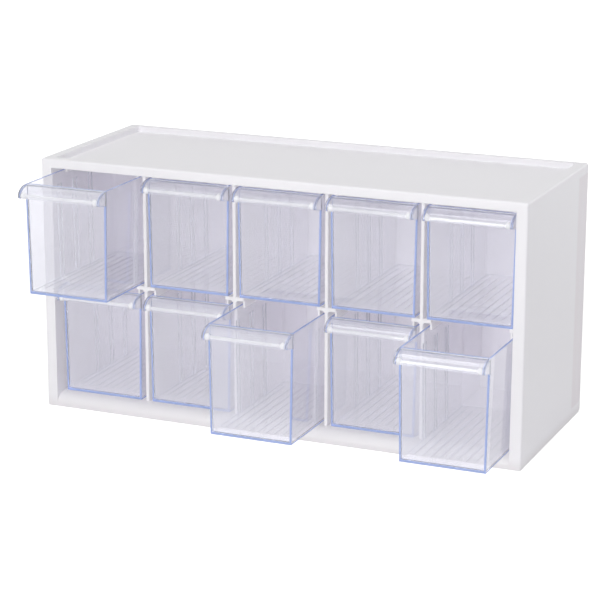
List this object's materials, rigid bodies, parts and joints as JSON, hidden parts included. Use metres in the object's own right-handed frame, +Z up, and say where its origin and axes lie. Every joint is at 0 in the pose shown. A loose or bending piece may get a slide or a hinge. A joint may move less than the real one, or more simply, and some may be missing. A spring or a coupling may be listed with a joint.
{
  "type": "small parts drawer cabinet",
  "caption": "Tabletop cabinet with two rows of clear pull-out drawers behind a white moulded frame, with a shallow tray top.",
  "frame": {"origin": "centre of the casing's base, on the surface it stands on", "axes": "+X to the viewer's right along the front, +Y towards the back, +Z up; the drawers open towards -Y"},
  "size_m": [0.33, 0.1748, 0.168],
  "materials": {
    "white_plastic": "satin white moulded polystyrene",
    "drawer_clear": "clear polystyrene with a faint blue tint at its edges"
  },
  "bodies": {
    "cabinet": {"casing": "white_plastic", "back_panel": "white_plastic", "partition_1": "white_plastic", "partition_2": "white_plastic", "partition_3": "white_plastic", "partition_4": "white_plastic"},
    "drawer_lower_1": {"drawer_lower_1": "drawer_clear"},
    "drawer_lower_2": {"drawer_lower_2": "drawer_clear"},
    "drawer_lower_3": {"drawer_lower_3": "drawer_clear"},
    "drawer_lower_4": {"drawer_lower_4": "drawer_clear"},
    "drawer_lower_5": {"drawer_lower_5": "drawer_clear"},
    "drawer_upper_1": {"drawer_upper_1": "drawer_clear"},
    "drawer_upper_2": {"drawer_upper_2": "drawer_clear"},
    "drawer_upper_3": {"drawer_upper_3": "drawer_clear"},
    "drawer_upper_4": {"drawer_upper_4": "drawer_clear"},
    "drawer_upper_5": {"drawer_upper_5": "drawer_clear"}
  },
  "joints": [
    {"name": "drawer_lower_1_slide", "type": "slide", "parent": "cabinet", "child": "drawer_lower_1", "axis": [0, -1, 0], "range_m": [0, 0.095]},
    {"name": "drawer_lower_2_slide", "type": "slide", "parent": "cabinet", "child": "drawer_lower_2", "axis": [0, -1, 0], "range_m": [0, 0.095]},
    {"name": "drawer_lower_3_slide", "type": "slide", "parent": "cabinet", "child": "drawer_lower_3", "axis": [0, -1, 0], "range_m": [-0.0445, 0.0505]},
    {"name": "drawer_lower_4_slide", "type": "slide", "parent": "cabinet", "child": "drawer_lower_4", "axis": [0, -1, 0], "range_m": [0, 0.095]},
    {"name": "drawer_lower_5_slide", "type": "slide", "parent": "cabinet", "child": "drawer_lower_5", "axis": [0, -1, 0], "range_m": [-0.0455, 0.0495]},
    {"name": "drawer_upper_1_slide", "type": "slide", "parent": "cabinet", "child": "drawer_upper_1", "axis": [0, -1, 0], "range_m": [-0.045, 0.05]},
    {"name": "drawer_upper_2_slide", "type": "slide", "parent": "cabinet", "child": "drawer_upper_2", "axis": [0, -1, 0], "range_m": [0, 0.095]},
    {"name": "drawer_upper_3_slide", "type": "slide", "parent": "cabinet", "child": "drawer_upper_3", "axis": [0, -1, 0], "range_m": [0, 0.095]},
    {"name": "drawer_upper_4_slide", "type": "slide", "parent": "cabinet", "child": "drawer_upper_4", "axis": [0, -1, 0], "range_m": [0, 0.095]},
    {"name": "drawer_upper_5_slide", "type": "slide", "parent": "cabinet", "child": "drawer_upper_5", "axis": [0, -1, 0], "range_m": [0, 0.095]}
  ]
}
